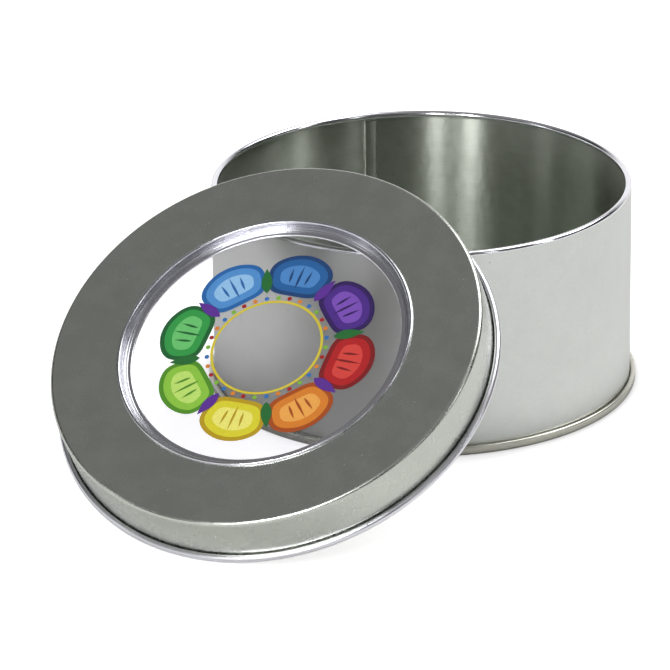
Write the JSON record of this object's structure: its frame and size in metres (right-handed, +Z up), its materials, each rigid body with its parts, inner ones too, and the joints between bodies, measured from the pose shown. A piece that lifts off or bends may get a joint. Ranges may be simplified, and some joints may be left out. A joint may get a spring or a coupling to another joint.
{
  "type": "window lid tin",
  "caption": "Shallow round seamed tin with its slip lid leant against it; the lid has a raised ring round a clear printed window.",
  "frame": {"origin": "on the tin's axis, in the plane of the seam's underside that the tin stands on", "axes": "+Z up along the tin's axis; the lid leans against the tin on its -Y side; +X completes a right-handed set"},
  "size_m": [0.1042, 0.176, 0.0654],
  "materials": {
    "wall_tinplate": "satin tinplate",
    "base_tinplate": "satin tinplate",
    "lid_tinplate": "matt tinplate",
    "clear_plastic": "clear sheet",
    "printed_film": "printed film in several colours"
  },
  "bodies": {
    "base": {"body_wall": "wall_tinplate", "base_plate": "base_tinplate"},
    "lid": {"lid_shell": "lid_tinplate", "window_pane": "clear_plastic", "window_print": "printed_film"}
  },
  "joints": [
    {"name": "lid_lift", "type": "slide", "parent": "base", "child": "lid", "axis": [0, 0, 1], "range_m": [0, 0.08]}
  ]
}
